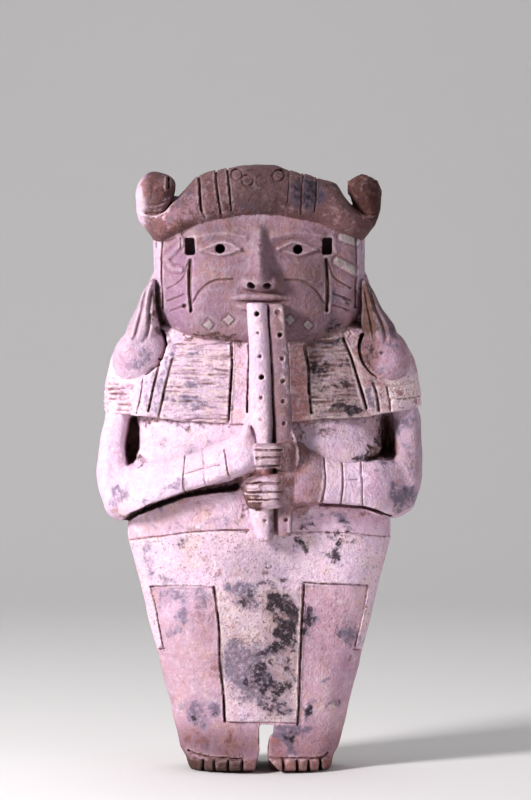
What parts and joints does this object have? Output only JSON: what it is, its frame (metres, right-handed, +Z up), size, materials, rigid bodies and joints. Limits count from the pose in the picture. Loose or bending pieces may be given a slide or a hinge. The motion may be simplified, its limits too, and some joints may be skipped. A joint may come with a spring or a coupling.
{
  "type": "ceramic effigy figure",
  "caption": "Standing fired-clay figure of a flute player with a horned turban, ear pendants, shoulder cape, belted skirt and front apron.",
  "frame": {"origin": "on the plane the soles stand on, under the middle of the figure's bounding box", "axes": "+Z up, -Y out of the figure's front, +X towards the figure's left hand"},
  "size_m": [0.1464, 0.0666, 0.273],
  "materials": {
    "fired_clay": "matt, unglazed, with worn cream slip and grey-blue stains"
  },
  "bodies": {
    "root": {"effigy_figure": "fired_clay"}
  },
  "joints": []
}
